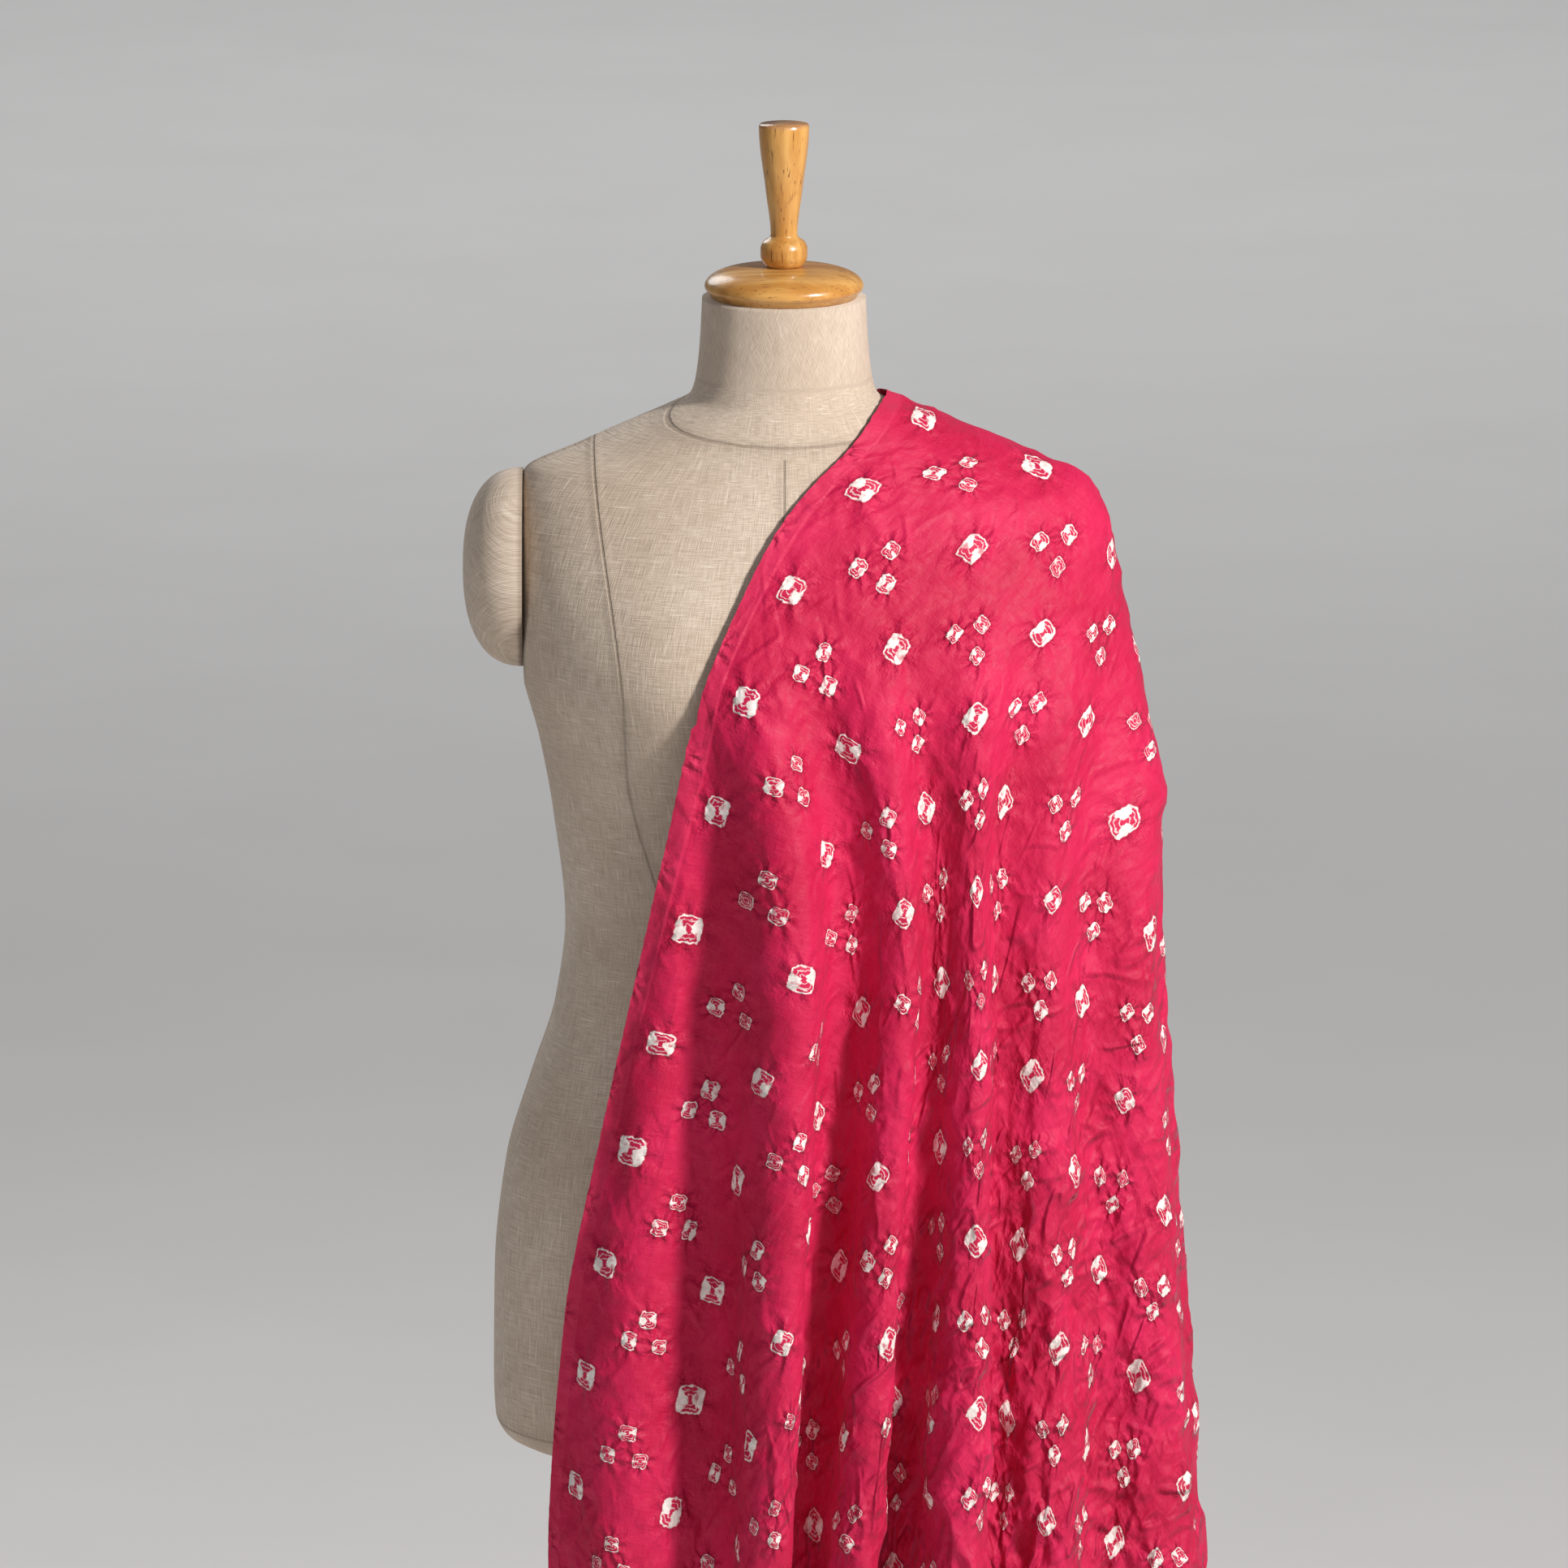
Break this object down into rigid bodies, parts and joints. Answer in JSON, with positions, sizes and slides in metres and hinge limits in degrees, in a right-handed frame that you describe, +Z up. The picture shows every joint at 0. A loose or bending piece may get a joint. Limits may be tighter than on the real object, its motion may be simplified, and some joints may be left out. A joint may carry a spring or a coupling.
{
  "type": "bandhani fabric draped on a dress form",
  "caption": "Crimson tie-dyed bandhani cloth draped over a shoulder of a linen-covered dress form, falling in soft folds front and back, on a plain pole and round foot.",
  "frame": {"origin": "centre of the foot's underside, where the stand rests on the surface", "axes": "+Z up along the pole, -Y towards the front of the form, +X towards the shoulder that carries the cloth"},
  "size_m": [0.4902, 0.4309, 1.5483],
  "materials": {
    "cloth": "soft satin",
    "linen": "matte",
    "wood": "lacquered",
    "stand": "satin"
  },
  "bodies": {
    "root": {"cloth": "cloth", "form_body": "linen", "arm_cap_right": "linen", "arm_cap_left": "linen", "neck_cap": "wood", "finial": "wood", "pole": "stand", "base": "stand"}
  },
  "joints": []
}
